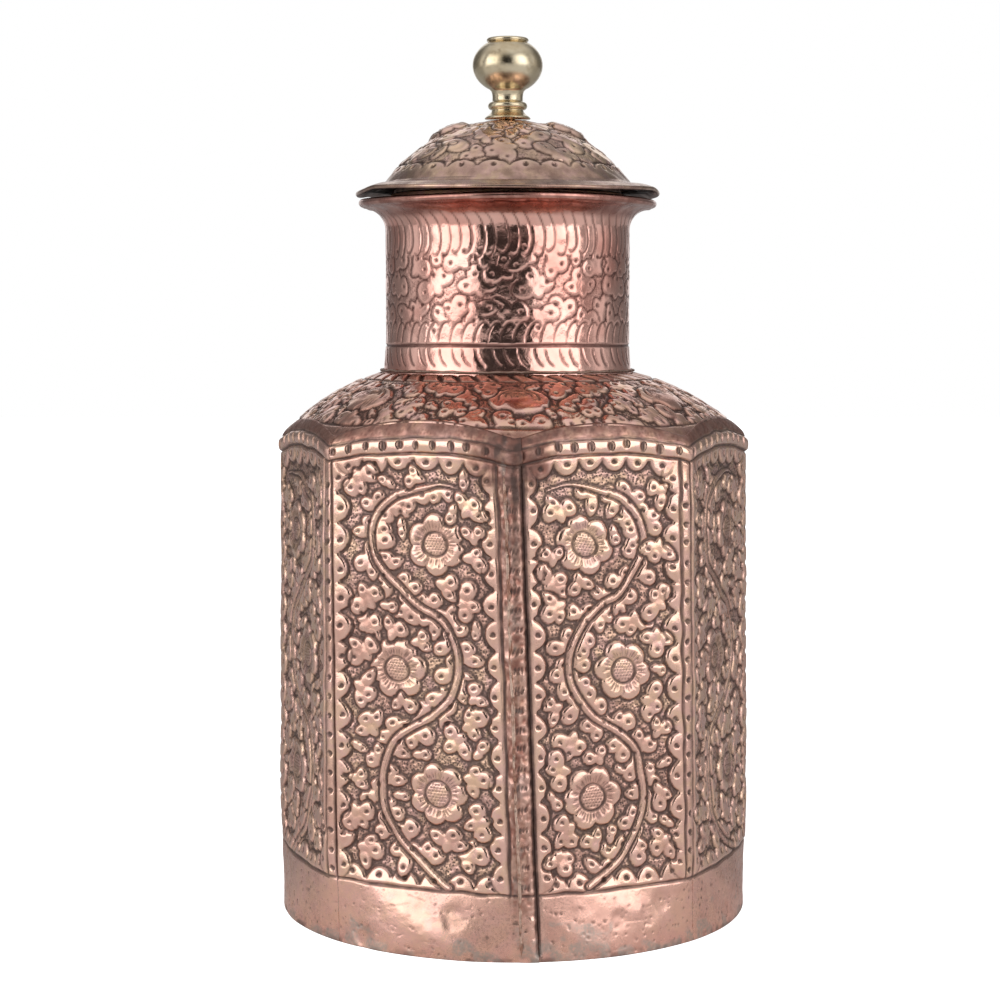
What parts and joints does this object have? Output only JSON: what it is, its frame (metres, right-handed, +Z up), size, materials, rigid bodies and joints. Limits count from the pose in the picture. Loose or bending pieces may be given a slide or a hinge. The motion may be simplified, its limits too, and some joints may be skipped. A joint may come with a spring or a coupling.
{
  "type": "tea caddy",
  "caption": "Eight-sided chased copper tea caddy with a round flared neck, a lift-off domed lid and a turned brass knob.",
  "frame": {"origin": "middle of the foot, on the surface that the caddy stands on", "axes": "+Z up along the body's axis, -Y towards the seam corner, +X to the right when facing that corner"},
  "size_m": [0.1252, 0.1265, 0.2286],
  "materials": {
    "chased_copper": "copper, chased and worn bright on the high parts, dark brown patina in the recesses",
    "polished_copper": "copper, polished, with dark chased lines",
    "plain_copper": "copper, semi-matt, with small pits and dull tinning at the joints",
    "knob_brass": "pale brass, polished, dull in the grooves",
    "spelter": "brazing spelter, filed and worn",
    "solder": "soft solder, dull grey and lumpy"
  },
  "bodies": {
    "caddy": {"body_wall": "chased_copper", "seam_braze": "spelter", "base_plate": "plain_copper", "base_solder": "solder", "shoulder": "chased_copper", "shoulder_solder": "solder", "neck": "polished_copper", "neck_solder": "solder"},
    "lid": {"lid_dome": "chased_copper", "lid_collar": "plain_copper", "collar_solder": "solder", "knob": "knob_brass", "knob_washer": "plain_copper"}
  },
  "joints": [
    {"name": "lid_lift", "type": "slide", "parent": "caddy", "child": "lid", "axis": [0, 0, 1], "range_m": [0, 0.1]}
  ]
}
